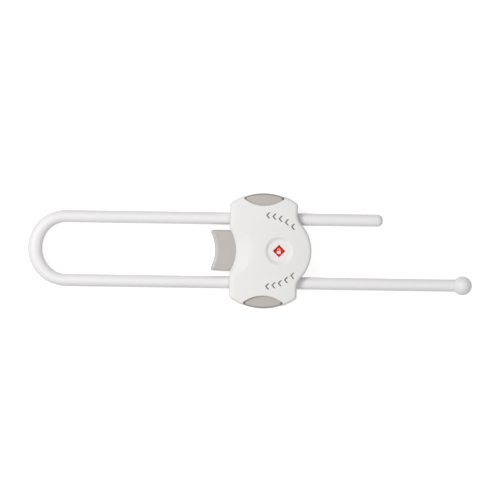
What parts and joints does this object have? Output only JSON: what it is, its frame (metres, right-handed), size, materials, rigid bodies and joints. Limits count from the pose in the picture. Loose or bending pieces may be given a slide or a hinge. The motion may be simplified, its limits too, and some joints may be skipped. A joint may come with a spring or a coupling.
{
  "type": "cabinet safety lock",
  "caption": "Sliding cabinet safety lock: a toothed U-shaped rod runs through a flat housing with squeeze-to-release buttons and a push tab that shows locked or unlocked.",
  "frame": {"origin": "centre of the housing's flat back face, midway between the two legs", "axes": "+X along the legs towards the ball end, +Y towards the short leg, +Z out of the front cover"},
  "size_m": [0.2604, 0.0678, 0.019],
  "materials": {
    "white_cover": "white, satin moulded",
    "white_rod": "white, satin moulded",
    "grey_button": "warm grey, fine moulded texture",
    "grey_tab": "warm grey, fine moulded texture",
    "natural_pawl": "natural, uncoloured",
    "spring_steel": "bright drawn wire",
    "zinc_screw": "zinc plated",
    "red_label": "printed red",
    "green_label": "printed green"
  },
  "bodies": {
    "housing": {"front_cover": "white_cover", "back_cover": "white_cover", "cover_screws": "zinc_screw", "pawl_upper": "natural_pawl", "pawl_lower": "natural_pawl", "button_spring_upper": "spring_steel", "button_spring_lower": "spring_steel", "indicator_spring": "spring_steel"},
    "rod": {"u_rod": "white_rod"},
    "button_upper": {"release_button_upper": "grey_button"},
    "button_lower": {"release_button_lower": "grey_button"},
    "indicator": {"indicator_tab": "grey_tab", "label_unlocked": "red_label", "label_locked": "green_label"}
  },
  "joints": [
    {"name": "rod_slide", "type": "slide", "parent": "housing", "child": "rod", "axis": [1, 0, 0], "range_m": [-0.09, 0.091], "deforming": ["pawl_upper", "pawl_lower"]},
    {"name": "button_upper_press", "type": "slide", "parent": "housing", "child": "button_upper", "axis": [0, -1, 0], "range_m": [0, 0.0032], "stiffness_N_per_m": 400, "springref_m": -0.004, "deforming": ["button_spring_upper"]},
    {"name": "button_lower_press", "type": "slide", "parent": "housing", "child": "button_lower", "axis": [0, 1, 0], "range_m": [0, 0.0032], "stiffness_N_per_m": 400, "springref_m": -0.004, "deforming": ["button_spring_lower"]},
    {"name": "tab_press", "type": "slide", "parent": "housing", "child": "indicator", "axis": [1, 0, 0], "range_m": [0, 0.0105], "stiffness_N_per_m": 100, "springref_m": -0.01, "deforming": ["indicator_spring"]}
  ]
}
